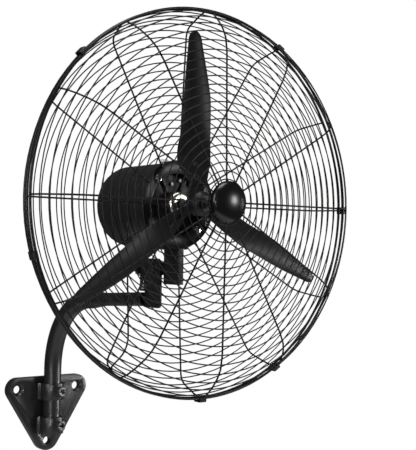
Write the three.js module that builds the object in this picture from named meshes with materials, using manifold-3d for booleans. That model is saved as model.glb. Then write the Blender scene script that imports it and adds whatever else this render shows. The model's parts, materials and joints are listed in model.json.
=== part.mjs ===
// A wall mounted fan: a three-hole wall plate with two clamps, a bent tube arm that swivels in them, a
// tilt plate, and a fan head of a drum motor, a wire guard in two halves and a three-blade rotor.
// Millimetres, +Z up. The wall is the plane y = 0, the fan blows along -Y, and the whole is centred on
// x = 0. The origin is on the wall plate's back face, at the middle of the plate's height.

import * as THREE from 'three';
import { mergeVertices } from 'three/addons/utils/BufferGeometryUtils.js';
import Module from 'manifold-3d';

const wasm = await Module();
wasm.setup();

// ---------------------------------------------------------------- driving dimensions

const GAP = 0.3;                  // left between pieces that touch
const WELD = 1;                   // how deep joined shapes of one piece run into each other

const FAN_AXIS_Z = 450;           // the rotor's axis above the middle of the wall plate
const RIM_Y = -575;               // the plane where the two guard halves meet
const GUARD_RADIUS = 346.5;       // centre line of the guard's two rim rings

const PLATE_THICKNESS = 14;
const PLATE_TOP_HOLE = { x: 72.5, z: 54 };
const PLATE_FOOT_HOLE_Z = -63;
const PLATE_HOLE_RADIUS = 9;
const PLATE_SINK_RADIUS = 13.5;   // the countersinks of the two upper holes
const PLATE_CORNER_RADIUS = 26;
const PLATE_FOOT = { z: -54.5, radius: 30 };

const TUBE_RADIUS = 19;
const TUBE_WALL = 2.6;
const TUBE_FRONT_RADIUS = 13.5;   // after the swage, on the arm's front run
const TUBE_Y = -(PLATE_THICKNESS + TUBE_RADIUS + 2);
const TUBE_FOOT_Z = -37;
const BEND_RADIUS = 161;
const ARM_RISE = THREE.MathUtils.degToRad(3);
const ARM_BEND_Z = 98.5;          // where the upright run ends and the bend begins
const ARM_FRONT_Y = -395;         // the open end that the tilt plate is welded into
const SWAGE_START_Y = -192;
const SWAGE_END_Y = -262;

const CLAMP_HALF_WIDTH = 30;
const CLAMP_RADIUS = 25.5;
const UPPER_CLAMP = { bottom: 32, top: 67.5 };
const LOWER_CLAMP = { bottom: -43, top: -6.5 };
const SET_SCREW_SIDE = THREE.MathUtils.degToRad(15);
const SET_SCREW_RADIUS = 5;
const BOSS_RADIUS = 11.5;
const BOSS_REACH = 32;

const TILT_PIVOT = { y: -427, z: 330 };
const TILT_PLATE_X = { low: -2.7, high: 2.3 };
const TILT_UP = THREE.MathUtils.degToRad(15);
const TILT_DOWN = THREE.MathUtils.degToRad(20);
const LOCK_ARM = 46.5;            // from the pivot to the lock screw
const LOCK_ANGLE = THREE.MathUtils.degToRad(-49);
const LOCK_SCREW_RADIUS = 3;
const LOCK_WASHER_RADIUS = 8;
const PIVOT_BOLT_RADIUS = 6;
const LUG_X = { low: 3, high: 12 };

const HOUSING_RADIUS = 79;
const HOUSING_WALL = 3;
const HOUSING_FRONT_Y = -494;
const HOUSING_REAR_Y = -332;
const HOUSING_CORNER = 12;
const STATOR = { front: -438, rear: -384, bore: 40 };
const SHAFT_RADIUS = 6;
const BEARING = { radius: 16, width: 10 };
const BELL_WEB = { front: -480, rear: -474 };
const BELL_BOSS_FRONT_Y = -505;
const RING_PLATE = { inner: 58, outer: 81, rear: -494.3, thickness: 3 };
const RING_SCREW_CIRCLE = 65;

const RIM_WIRE = 2.4;             // radii of the wires
const RADIAL_WIRE = 1.6;
const RING_WIRE = 1.4;
const WIRE_REACH = 1.5;           // a three-sided wire's corner, as a share of the round wire's radius
const RIM_DEPTH = 5.5;            // each rim ring's distance from the rim plane
const RADIAL_COUNT = 12;
const FRONT_FACE_DEPTH = 66;
const FRONT_SHOULDER = [          // the front half slopes in from its rim; depths from the rim plane
  { radius: 338, depth: 20 },
  { radius: 325, depth: 34 },
  { radius: 308, depth: 48 },
  { radius: 290, depth: 57 },
  { radius: 265, depth: 61 },
];
const REAR_SHOULDER = [           // the rear half is a straight wall with a rounded corner
  { radius: 341, depth: 20 },
  { radius: 330.5, depth: 42.6 },
  { radius: 326.6, depth: 51.2 },
  { radius: 319.3, depth: 57.4 },
  { radius: 310.2, depth: 60 },
];
const CLIP_ANGLES = [0, 60, 137, 196, 270, 300];

const ROTOR_Y = RIM_Y + 18;       // the plane of the three blade roots
const BLADE_COUNT = 3;
const BLADE_PHASE = 93.8;
const BLADE_TIP = 310;
const BLADE_ROOT_PITCH = THREE.MathUtils.degToRad(30);
const BLADE_TIP_PITCH = THREE.MathUtils.degToRad(8);
const BLADE_FLAT = 92;            // the root stays flat out to this radius
const BLADE_THICKNESS = 3;
const BLADE_RAKE = 12;            // how far the blade's outer part stands ahead of its root
const BLADE_EDGES = [             // each edge's distance from the blade's radial line, root to tip
  { radius: 34, leading: 18, trailing: 10 },
  { radius: 50, leading: 22, trailing: 21 },
  { radius: 76, leading: 27, trailing: 34 },
  { radius: 100, leading: 28, trailing: 33 },
  { radius: 128, leading: 28, trailing: 28 },
  { radius: 190, leading: 26, trailing: 26 },
  { radius: 226, leading: 22.5, trailing: 22.5 },
  { radius: 260, leading: 18, trailing: 18 },
  { radius: 289, leading: 14, trailing: 14 },
];
const HUB_RADIUS = 22;
const HUB_FRONT_Y = ROTOR_Y - 24;
const HUB_REAR_Y = ROTOR_Y + 7;

// ---------------------------------------------------------------- materials

const finish = (color, roughness, metalness) => () =>
  new THREE.MeshStandardMaterial({ color, roughness, metalness });
const blackPaint = finish(0x141414, 0.45, 0.2);
const matteBlack = finish(0x1d1d1d, 0.75, 0.0);
const blackWire = finish(0x101010, 0.35, 0.3);
const brightSteel = finish(0xb9b6ae, 0.35, 0.9);
const darkSteel = finish(0x3a3a3a, 0.5, 0.8);
const copper = finish(0xa55a2a, 0.45, 0.8);
const greyPlastic = finish(0xb8bab8, 0.6, 0.0);
const blackRubber = finish(0x181818, 0.9, 0.0);

// ---------------------------------------------------------------- solids

const object = new THREE.Group();

function addMesh(name, geometry, material, parent = object) {
  const mesh = new THREE.Mesh(geometry, material());
  mesh.name = name;
  parent.add(mesh);
  return mesh;
}

function toSolid(geometry) {
  const bare = geometry.clone();
  for (const attribute of Object.keys(bare.attributes)) {
    if (attribute !== 'position') {
      bare.deleteAttribute(attribute);
    }
  }
  const merged = mergeVertices(bare, 1e-4);
  return new wasm.Manifold(new wasm.Mesh({
    numProp: 3,
    vertProperties: new Float32Array(merged.attributes.position.array),
    triVerts: new Uint32Array(merged.index.array),
  }));
}

function toGeometry(solid) {
  const mesh = solid.getMesh();
  const geometry = new THREE.BufferGeometry();
  geometry.setAttribute('position', new THREE.BufferAttribute(mesh.vertProperties, 3));
  geometry.setIndex(new THREE.BufferAttribute(mesh.triVerts, 1));
  return geometry;
}

function join(...geometries) {
  return toGeometry(geometries.map(toSolid).reduce((whole, next) => whole.add(next)));
}

function cut(geometry, ...tools) {
  return toGeometry(tools.map(toSolid).reduce((whole, tool) => whole.subtract(tool), toSolid(geometry)));
}

// ---------------------------------------------------------------- basic forms

const AXES_ALONG_X = new THREE.Matrix4().makeBasis(
  new THREE.Vector3(0, 1, 0), new THREE.Vector3(0, 0, 1), new THREE.Vector3(1, 0, 0));

function extrude(shape, depth, curveSegments = 7) {
  return new THREE.ExtrudeGeometry(shape, { depth, bevelEnabled: false, curveSegments });
}

// A shape drawn in (x, z), from y = rear forward to y = rear - depth.
function slabFacingFront(shape, rear, depth) {
  return extrude(shape, depth).rotateX(Math.PI / 2).translate(0, rear, 0);
}

// A shape drawn in (y, z), from x = low to x = high.
function slabFacingSide(shape, low, high) {
  return extrude(shape, high - low).applyMatrix4(AXES_ALONG_X).translate(low, 0, 0);
}

// A shape drawn in (x, y), from z = bottom to z = top.
function slabFacingUp(shape, bottom, top) {
  return extrude(shape, top - bottom).translate(0, 0, bottom);
}

function rodAlongY(radius, low, high, x, z, sides = 20) {
  return new THREE.CylinderGeometry(radius, radius, high - low, sides).translate(x, (low + high) / 2, z);
}

function rodAlongX(radius, low, high, y, z, sides = 16) {
  return new THREE.CylinderGeometry(radius, radius, high - low, sides)
    .rotateZ(-Math.PI / 2).translate((low + high) / 2, y, z);
}

// A closed outline of (radius, y) points, turned about the rotor's axis.
function turnAboutRotor(outline, segments = 24, start = 0) {
  const points = outline.map(([radius, y]) => new THREE.Vector2(radius, y));
  if (THREE.ShapeUtils.isClockWise(points)) {
    points.reverse();
  }
  points.push(points[0].clone());
  return new THREE.LatheGeometry(points, segments, start).translate(0, 0, FAN_AXIS_Z);
}

function turnedRing(inner, outer, low, high, segments = 24) {
  return turnAboutRotor([[inner, low], [outer, low], [outer, high], [inner, high]], segments);
}

function onCircle(radius, degrees) {
  const angle = THREE.MathUtils.degToRad(degrees);
  return { x: radius * Math.cos(angle), z: FAN_AXIS_Z + radius * Math.sin(angle) };
}

function hexagon(radius) {
  const shape = new THREE.Shape();
  for (let corner = 0; corner < 6; corner += 1) {
    const angle = corner * Math.PI / 3;
    shape.lineTo(radius * Math.cos(angle), radius * Math.sin(angle));
  }
  shape.curves.shift();
  return shape;
}

// ---------------------------------------------------------------- wall bracket

function wallPlate() {
  const { x, z } = PLATE_TOP_HOLE;
  const side = new THREE.Vector2(x, z - PLATE_FOOT.z);
  const lean = Math.atan2(side.y, side.x);
  const spread = Math.acos((PLATE_CORNER_RADIUS - PLATE_FOOT.radius) / side.length());
  const touch = lean - spread;
  const outline = new THREE.Shape();
  outline.absarc(x, z, PLATE_CORNER_RADIUS, touch, Math.PI / 2, false);
  outline.absarc(-x, z, PLATE_CORNER_RADIUS, Math.PI / 2, Math.PI - touch, false);
  outline.absarc(0, PLATE_FOOT.z, PLATE_FOOT.radius, Math.PI - touch, 2 * Math.PI + touch, false);
  const blank = slabFacingFront(outline, 0, PLATE_THICKNESS);
  const holes = [[-x, z], [x, z], [0, PLATE_FOOT_HOLE_Z]].map(([holeX, holeZ]) =>
    rodAlongY(PLATE_HOLE_RADIUS, -PLATE_THICKNESS - WELD, WELD, holeX, holeZ, 24));
  const sinkDepth = PLATE_SINK_RADIUS - PLATE_HOLE_RADIUS;
  const sinks = [-x, x].map((holeX) =>
    new THREE.CylinderGeometry(PLATE_HOLE_RADIUS, PLATE_SINK_RADIUS + WELD, sinkDepth + WELD, 24)
      .translate(holeX, -PLATE_THICKNESS + (sinkDepth - WELD) / 2, z));
  return cut(blank, ...holes, ...sinks);
}

function clampOutline() {
  const faceY = -PLATE_THICKNESS - GAP;
  const shoulderY = faceY - 10;
  const wrap = THREE.MathUtils.degToRad(20);
  const outline = new THREE.Shape();
  outline.moveTo(CLAMP_HALF_WIDTH, faceY);
  outline.lineTo(-CLAMP_HALF_WIDTH, faceY);
  outline.lineTo(-CLAMP_HALF_WIDTH, shoulderY);
  outline.absarc(0, TUBE_Y, CLAMP_RADIUS, Math.PI - wrap, 2 * Math.PI + wrap, false);
  outline.lineTo(CLAMP_HALF_WIDTH, shoulderY);
  outline.closePath();
  return outline;
}

// Points from the tube's axis out through a clamp's boss, for a rod between two distances.
function rodThroughBoss(radius, near, far, z, sides = 20) {
  return new THREE.CylinderGeometry(radius, radius, far - near, sides)
    .translate(0, -(near + far) / 2, 0).rotateZ(SET_SCREW_SIDE).translate(0, TUBE_Y, z);
}

function clamp({ bottom, top }, boreBottom) {
  const middle = (bottom + top) / 2;
  const body = join(slabFacingUp(clampOutline(), bottom, top),
    rodThroughBoss(BOSS_RADIUS, TUBE_RADIUS + 3, BOSS_REACH, middle));
  const bore = new THREE.CylinderGeometry(TUBE_RADIUS + GAP, TUBE_RADIUS + GAP, top - boreBottom + WELD, 32)
    .rotateX(Math.PI / 2).translate(0, TUBE_Y, (top + WELD + boreBottom) / 2);
  const screwHole = rodThroughBoss(SET_SCREW_RADIUS + GAP, TUBE_RADIUS, BOSS_REACH + WELD, middle);
  return cut(body, bore, screwHole);
}

function setScrew({ bottom, top }) {
  const near = TUBE_RADIUS + GAP;
  const far = BOSS_REACH - 2;
  const socket = extrude(hexagon(2.9), 6).rotateX(Math.PI / 2).translate(0, -far + 5, 0)
    .rotateZ(SET_SCREW_SIDE).translate(0, TUBE_Y, (bottom + top) / 2);
  return cut(rodThroughBoss(SET_SCREW_RADIUS, near, far, (bottom + top) / 2), socket);
}

function buildWallBracket() {
  const cupFloor = LOWER_CLAMP.bottom + 4;
  addMesh('wall_plate', wallPlate(), blackPaint);
  addMesh('upper_clamp', clamp(UPPER_CLAMP, UPPER_CLAMP.bottom - WELD), blackPaint);
  addMesh('lower_clamp', clamp(LOWER_CLAMP, cupFloor), blackPaint);
  addMesh('upper_set_screw', setScrew(UPPER_CLAMP), darkSteel);
  addMesh('lower_set_screw', setScrew(LOWER_CLAMP), darkSteel);
  const bush = new THREE.CylinderGeometry(TUBE_RADIUS - GAP, TUBE_RADIUS - GAP, 1.4, 32)
    .rotateX(Math.PI / 2).translate(0, TUBE_Y, cupFloor + GAP + 0.7);
  addMesh('foot_bush', bush, greyPlastic);
}

// ---------------------------------------------------------------- arm

// A line that runs straight from each of its points to the next.
class PolyLine extends THREE.Curve {
  constructor(points) {
    super();
    this.points = points;
  }

  getPoint(t) {
    const place = t * (this.points.length - 1);
    const i = Math.min(Math.floor(place), this.points.length - 2);
    return this.points[i].clone().lerp(this.points[i + 1], place - i);
  }

  getUtoTmapping(u) {
    return u;
  }
}

function pointOnBend(turn) {
  const y = TUBE_Y - BEND_RADIUS * (1 - Math.cos(turn));
  return new THREE.Vector3(0, y, ARM_BEND_Z + BEND_RADIUS * Math.sin(turn));
}

const BEND_TURN = Math.PI / 2 - ARM_RISE;
const BEND_END = pointOnBend(BEND_TURN);

// The centre line's height on the front run, which rises a little towards the fan.
function armHeightAt(y) {
  return BEND_END.z + (BEND_END.y - y) * Math.tan(ARM_RISE);
}

// The tube's centre line: an upright run, a bend and a front run.
function armLine() {
  const bendSteps = 9;
  const swageSteps = 4;
  const points = [new THREE.Vector3(0, TUBE_Y, TUBE_FOOT_Z)];
  for (let step = 0; step <= bendSteps; step += 1) {
    points.push(pointOnBend(BEND_TURN * step / bendSteps));
  }
  for (let step = 0; step <= swageSteps; step += 1) {
    const y = THREE.MathUtils.lerp(SWAGE_START_Y, SWAGE_END_Y, step / swageSteps);
    points.push(new THREE.Vector3(0, y, armHeightAt(y)));
  }
  points.push(new THREE.Vector3(0, ARM_FRONT_Y, armHeightAt(ARM_FRONT_Y)));
  return new PolyLine(points);
}

// Draws the tube's front run down to its smaller size, towards the centre line.
function swage(geometry) {
  const position = geometry.attributes.position;
  for (let i = 0; i < position.count; i += 1) {
    const y = position.getY(i);
    const share = THREE.MathUtils.smoothstep(-y, -SWAGE_START_Y, -SWAGE_END_Y);
    const scale = THREE.MathUtils.lerp(1, TUBE_FRONT_RADIUS / TUBE_RADIUS, share);
    const centre = y < BEND_END.y ? armHeightAt(y) : position.getZ(i);
    position.setX(i, position.getX(i) * scale);
    position.setZ(i, centre + (position.getZ(i) - centre) * scale);
  }
  return geometry;
}

function armTube() {
  const section = new THREE.Shape();
  section.absarc(0, 0, TUBE_RADIUS, 0, 2 * Math.PI, false);
  const bore = new THREE.Path();
  bore.absarc(0, 0, TUBE_RADIUS - TUBE_WALL, 0, 2 * Math.PI, true);
  section.holes.push(bore);
  const extrudePath = armLine();
  return swage(new THREE.ExtrudeGeometry(section, {
    steps: extrudePath.points.length - 1, curveSegments: 10, bevelEnabled: false, extrudePath,
  }));
}

function pointFromPivot(radius, angle) {
  return [TILT_PIVOT.y + radius * Math.cos(angle), TILT_PIVOT.z + radius * Math.sin(angle)];
}

// The curved slot that the lock screw runs in.
function lockSlot() {
  const low = LOCK_ANGLE - TILT_UP - 0.01;
  const high = LOCK_ANGLE + TILT_DOWN + 0.01;
  const halfWidth = LOCK_SCREW_RADIUS + 0.5;
  const slot = new THREE.Path();
  slot.absarc(TILT_PIVOT.y, TILT_PIVOT.z, LOCK_ARM + halfWidth, low, high, false);
  slot.absarc(...pointFromPivot(LOCK_ARM, high), halfWidth, high, high + Math.PI, false);
  slot.absarc(TILT_PIVOT.y, TILT_PIVOT.z, LOCK_ARM - halfWidth, high, low, true);
  slot.absarc(...pointFromPivot(LOCK_ARM, low), halfWidth, low + Math.PI, low + 2 * Math.PI, false);
  return slot;
}

function roundHole(y, z, radius) {
  const hole = new THREE.Path();
  hole.absarc(y, z, radius, 0, 2 * Math.PI, true);
  return hole;
}

// Upright plate on the arm's end. Its tongue reaches into the tube, and its rear edge is folded over
// above the lock screw's sweep.
function tiltPlate() {
  const front = -447;
  const rear = -379.5;
  const top = 349;
  const bottom = 255;
  const corner = 8;
  const tubeMiddle = armHeightAt(ARM_FRONT_Y);
  const shoulder = ARM_FRONT_Y - 1.4;
  const notchTop = tubeMiddle + TUBE_FRONT_RADIUS + 2;
  const tongue = { top: tubeMiddle + 7, bottom: tubeMiddle - 7, end: ARM_FRONT_Y + 24 };
  const outline = new THREE.Shape();
  outline.moveTo(front, top - corner);
  outline.lineTo(front, bottom + corner);
  outline.absarc(front + corner, bottom + corner, corner, Math.PI, 1.5 * Math.PI, false);
  outline.lineTo(shoulder, bottom);
  outline.lineTo(shoulder, tongue.bottom);
  outline.lineTo(tongue.end, tongue.bottom);
  outline.lineTo(tongue.end, tongue.top);
  outline.lineTo(shoulder, tongue.top);
  outline.lineTo(shoulder, notchTop);
  outline.lineTo(rear, notchTop);
  outline.lineTo(rear, top);
  outline.lineTo(front + corner, top);
  outline.closePath();
  outline.holes.push(roundHole(TILT_PIVOT.y, TILT_PIVOT.z, PIVOT_BOLT_RADIUS + GAP), lockSlot());
  const [, screwHighest] = pointFromPivot(LOCK_ARM, LOCK_ANGLE + TILT_DOWN);
  const foldBottom = screwHighest + LOCK_WASHER_RADIUS + 3;
  const flange = new THREE.BoxGeometry(12, 5, top - foldBottom)
    .translate(TILT_PLATE_X.low - 6 + WELD, rear - 2.5, (top + foldBottom) / 2);
  return join(slabFacingSide(outline, TILT_PLATE_X.low, TILT_PLATE_X.high), flange);
}

function washer(inner, outer, low, high, y, z) {
  const shape = new THREE.Shape();
  shape.absarc(0, 0, outer, 0, 2 * Math.PI, false);
  shape.holes.push(roundHole(0, 0, inner));
  return slabFacingSide(shape, low, high).translate(0, y, z);
}

function hexAlongX(radius, low, high, y, z) {
  return slabFacingSide(hexagon(radius), low, high).translate(0, y, z);
}

function buildArm() {
  const { y, z } = TILT_PIVOT;
  const washerThickness = 1.6;
  const headSeat = TILT_PLATE_X.low - GAP - washerThickness - GAP;
  const nutSeat = LUG_X.high + GAP + washerThickness + GAP;
  const bore = PIVOT_BOLT_RADIUS + GAP;
  addMesh('arm_tube', armTube(), blackPaint);
  addMesh('tilt_plate', tiltPlate(), blackPaint);
  addMesh('pivot_bolt', join(hexAlongX(10.5, headSeat - 7, headSeat, y, z),
    rodAlongX(PIVOT_BOLT_RADIUS, headSeat - WELD, nutSeat + 11, y, z)), darkSteel);
  addMesh('pivot_washer_inner', washer(bore, 12, headSeat + GAP, TILT_PLATE_X.low - GAP, y, z), darkSteel);
  addMesh('pivot_washer_outer', washer(bore, 12, LUG_X.high + GAP, nutSeat - GAP, y, z), darkSteel);
  addMesh('pivot_nut', cut(hexAlongX(10.5, nutSeat, nutSeat + 9, y, z),
    rodAlongX(bore, nutSeat - WELD, nutSeat + 9 + WELD, y, z)), darkSteel);
}

// ---------------------------------------------------------------- motor

const NECK = { front: HOUSING_FRONT_Y + 0.5, rear: -451, bottom: 301, flangeX: 18 };
const SADDLE = { inner: HOUSING_RADIUS + GAP, outer: HOUSING_RADIUS + 5, halfAngle: 26 };
const NECK_SCREW_ANGLES = [-110, -70];
const NECK_SCREW_YS = [-486, -458];
const PLUG_Y = -450;
const INSIDE_RADIUS = HOUSING_RADIUS - HOUSING_WALL - 0.8;
const GROMMET = { radius: 8, z: FAN_AXIS_Z - 50 };
const BEARING_CAP_RADIUS = 24;
const BELL_SCREW_PLACES = [onCircle(39, 95), onCircle(48, 72)];

function rodTowardsRotor(radius, near, far, degrees, y, sides = 14) {
  return new THREE.CylinderGeometry(radius, radius, far - near, sides)
    .rotateZ(-Math.PI / 2).translate((near + far) / 2, 0, 0)
    .rotateY(-THREE.MathUtils.degToRad(degrees)).translate(0, y, FAN_AXIS_Z);
}

// The drum: open in front, closed behind with a rounded corner and a seat for the rear bearing.
function motorHousing() {
  const inner = HOUSING_RADIUS - HOUSING_WALL;
  const rearInside = HOUSING_REAR_Y - 4;
  const seat = BEARING.radius + GAP;
  const outline = [[inner, HOUSING_FRONT_Y], [HOUSING_RADIUS, HOUSING_FRONT_Y]];
  for (let step = 0; step <= 3; step += 1) {
    const turn = step * Math.PI / 6;
    outline.push([HOUSING_RADIUS - HOUSING_CORNER * (1 - Math.cos(turn)),
      HOUSING_REAR_Y - HOUSING_CORNER * (1 - Math.sin(turn))]);
  }
  outline.push([0, HOUSING_REAR_Y], [0, rearInside], [seat, rearInside],
    [seat, rearInside - BEARING.width], [seat + 4, rearInside - BEARING.width], [seat + 4, rearInside],
    [HOUSING_RADIUS - HOUSING_CORNER, rearInside], [inner, HOUSING_REAR_Y - HOUSING_CORNER]);
  const drum = turnAboutRotor(outline, 32);
  const screwHoles = NECK_SCREW_ANGLES.flatMap((degrees) => NECK_SCREW_YS.map((y) =>
    rodTowardsRotor(2.5 + GAP, inner - 5, HOUSING_RADIUS + 5, degrees, y, 8)));
  const plugHole = rodTowardsRotor(6 + GAP, inner - 5, HOUSING_RADIUS + 5, 90, PLUG_Y);
  const cordHole = rodAlongY(GROMMET.radius + GAP, rearInside - 5, HOUSING_REAR_Y + 5, 0, GROMMET.z);
  return cut(drum, plugHole, cordHole, ...screwHoles);
}

function ringScrewPlaces() {
  return [45, 135, 225, 315].map((degrees) => onCircle(RING_SCREW_CIRCLE, degrees));
}

// The front bearing bracket, with six ribs, and four posts that carry the guard's ring plate.
function frontBell() {
  const outer = INSIDE_RADIUS;
  const seat = BEARING.radius + GAP;
  const bell = turnAboutRotor([[SHAFT_RADIUS + 1, BELL_BOSS_FRONT_Y], [20, BELL_BOSS_FRONT_Y],
    [20, BELL_WEB.front], [outer, BELL_WEB.front], [outer, BELL_WEB.rear + 8],
    [outer - 5, BELL_WEB.rear + 8], [outer - 5, BELL_WEB.rear], [seat, BELL_WEB.rear],
    [seat, BELL_BOSS_FRONT_Y + 4], [SHAFT_RADIUS + 1, BELL_BOSS_FRONT_Y + 4]]);
  const postFront = RING_PLATE.rear + GAP;
  const posts = ringScrewPlaces().map(({ x, z }) =>
    rodAlongY(6, postFront, BELL_WEB.front + WELD, x, z, 8));
  const ribs = [0, 60, 120, 180, 240, 300].map((degrees) => new THREE.BoxGeometry(44, 6 + WELD, 5)
    .translate(BEARING_CAP_RADIUS + 1 + 22, BELL_WEB.front - 3 + WELD / 2, 0)
    .rotateY(THREE.MathUtils.degToRad(degrees)).translate(0, 0, FAN_AXIS_Z));
  const ringHoles = ringScrewPlaces().map(({ x, z }) =>
    rodAlongY(2.5 + GAP, postFront - WELD, BELL_WEB.rear + WELD, x, z, 8));
  const bellHoles = BELL_SCREW_PLACES.map(({ x, z }) =>
    rodAlongY(2 + GAP, BELL_WEB.front - WELD, BELL_WEB.rear + WELD, x, z, 8));
  return cut(join(bell, ...posts, ...ribs), ...ringHoles, ...bellHoles);
}

function bellScrew({ x, z }) {
  const seat = BELL_WEB.front - GAP;
  return join(rodAlongY(4.2, seat - 3, seat, x, z, 14), rodAlongY(2, seat - WELD, BELL_WEB.rear + 3, x, z, 8));
}

function bearingCap() {
  const front = BELL_BOSS_FRONT_Y - GAP - 3;
  const outer = BEARING_CAP_RADIUS;
  return turnAboutRotor([[9, front], [outer - 5, front], [outer - 2, front + 1.5], [outer, front + 5],
    [outer, BELL_WEB.front - GAP], [outer - 3.5, BELL_WEB.front - GAP], [outer - 3.5, front + 3],
    [9, front + 3]], 28);
}

// A winding's end turns: a round-cornered ring beyond the stator's stack.
function windingRing(low, high) {
  const section = [];
  for (let step = 0; step < 6; step += 1) {
    const angle = (step + 0.5) * Math.PI / 3;
    section.push([57 + 11.5 * Math.cos(angle), (low + high) / 2 + (high - low) / 2 * Math.sin(angle)]);
  }
  return turnAboutRotor(section, 20);
}

function ringPlate() {
  const front = RING_PLATE.rear - RING_PLATE.thickness;
  const holes = ringScrewPlaces().map(({ x, z }) =>
    rodAlongY(2.5 + GAP, front - WELD, RING_PLATE.rear + WELD, x, z, 8));
  return cut(turnedRing(RING_PLATE.inner, RING_PLATE.outer, front, RING_PLATE.rear, 32), ...holes);
}

function ringScrew({ x, z }) {
  const seat = RING_PLATE.rear - RING_PLATE.thickness - GAP;
  return join(rodAlongY(6.5, seat - 3, seat, x, z, 16), rodAlongY(2.5, seat - WELD, -476, x, z, 10));
}

function capsuleShape([y1, z1], [y2, z2], radius) {
  const angle = Math.atan2(z2 - z1, y2 - y1);
  const shape = new THREE.Shape();
  shape.absarc(y1, z1, radius, angle + Math.PI / 2, angle + 1.5 * Math.PI, false);
  shape.absarc(y2, z2, radius, angle - Math.PI / 2, angle + Math.PI / 2, false);
  return shape;
}

// Saddle under the drum, the neck that hangs from it, and the lug that reaches back to the pivot.
function neckBracket() {
  const saddleShape = new THREE.Shape();
  const down = -Math.PI / 2;
  const half = THREE.MathUtils.degToRad(SADDLE.halfAngle);
  saddleShape.absarc(0, FAN_AXIS_Z, SADDLE.outer, down - half, down + half, false);
  saddleShape.absarc(0, FAN_AXIS_Z, SADDLE.inner, down + half, down - half, true);
  const saddle = slabFacingFront(saddleShape, NECK.rear, NECK.rear - NECK.front);
  const neckTop = FAN_AXIS_Z - SADDLE.inner - 2;
  const neck = new THREE.BoxGeometry(LUG_X.high - LUG_X.low, NECK.rear - NECK.front, neckTop - NECK.bottom)
    .translate((LUG_X.low + LUG_X.high) / 2, (NECK.rear + NECK.front) / 2, (neckTop + NECK.bottom) / 2);
  const flange = new THREE.BoxGeometry(NECK.flangeX - LUG_X.low, 4, neckTop - NECK.bottom)
    .translate((LUG_X.low + NECK.flangeX) / 2, NECK.front + 2, (neckTop + NECK.bottom) / 2);
  const pivot = [TILT_PIVOT.y, TILT_PIVOT.z];
  const lock = pointFromPivot(LOCK_ARM, LOCK_ANGLE);
  const bar = slabFacingSide(capsuleShape([NECK.rear - 12, TILT_PIVOT.z], pivot, 12), LUG_X.low, LUG_X.high);
  const lug = slabFacingSide(capsuleShape(pivot, lock, 7.5), LUG_X.low, LUG_X.high);
  const holes = [
    rodAlongX(PIVOT_BOLT_RADIUS + GAP, LUG_X.low - WELD, LUG_X.high + WELD, ...pivot),
    rodAlongX(LOCK_SCREW_RADIUS + GAP, LUG_X.low - WELD, LUG_X.high + WELD, ...lock),
    ...NECK_SCREW_ANGLES.flatMap((degrees) => NECK_SCREW_YS.map((y) =>
      rodTowardsRotor(2.5 + GAP, SADDLE.inner - 3, SADDLE.outer + 3, degrees, y, 8))),
  ];
  return cut(join(saddle, neck, flange, bar, lug), ...holes);
}

function neckScrew(degrees, y) {
  const seat = SADDLE.outer + GAP;
  return join(rodTowardsRotor(4.5, seat, seat + 3, degrees, y),
    rodTowardsRotor(2.5, HOUSING_RADIUS - HOUSING_WALL - 3, seat + WELD, degrees, y, 10));
}

function cordGrommet() {
  const inside = HOUSING_REAR_Y - 4 - GAP;
  const outside = HOUSING_REAR_Y + GAP;
  return turnAboutRotor([[4, inside - 3], [10.5, inside - 3], [10.5, inside], [8, inside], [8, outside],
    [10.5, outside], [9, outside + 6], [4, outside + 6]], 16).translate(0, 0, GROMMET.z - FAN_AXIS_Z);
}

function housingPlug() {
  const seat = HOUSING_RADIUS + 1.4;
  return join(rodTowardsRotor(6, HOUSING_RADIUS - HOUSING_WALL - 1.5, seat + WELD, 90, PLUG_Y, 16),
    rodTowardsRotor(9, seat, seat + 5, 90, PLUG_Y, 20),
    rodTowardsRotor(6.5, seat + 4, seat + 7, 90, PLUG_Y, 20));
}

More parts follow.
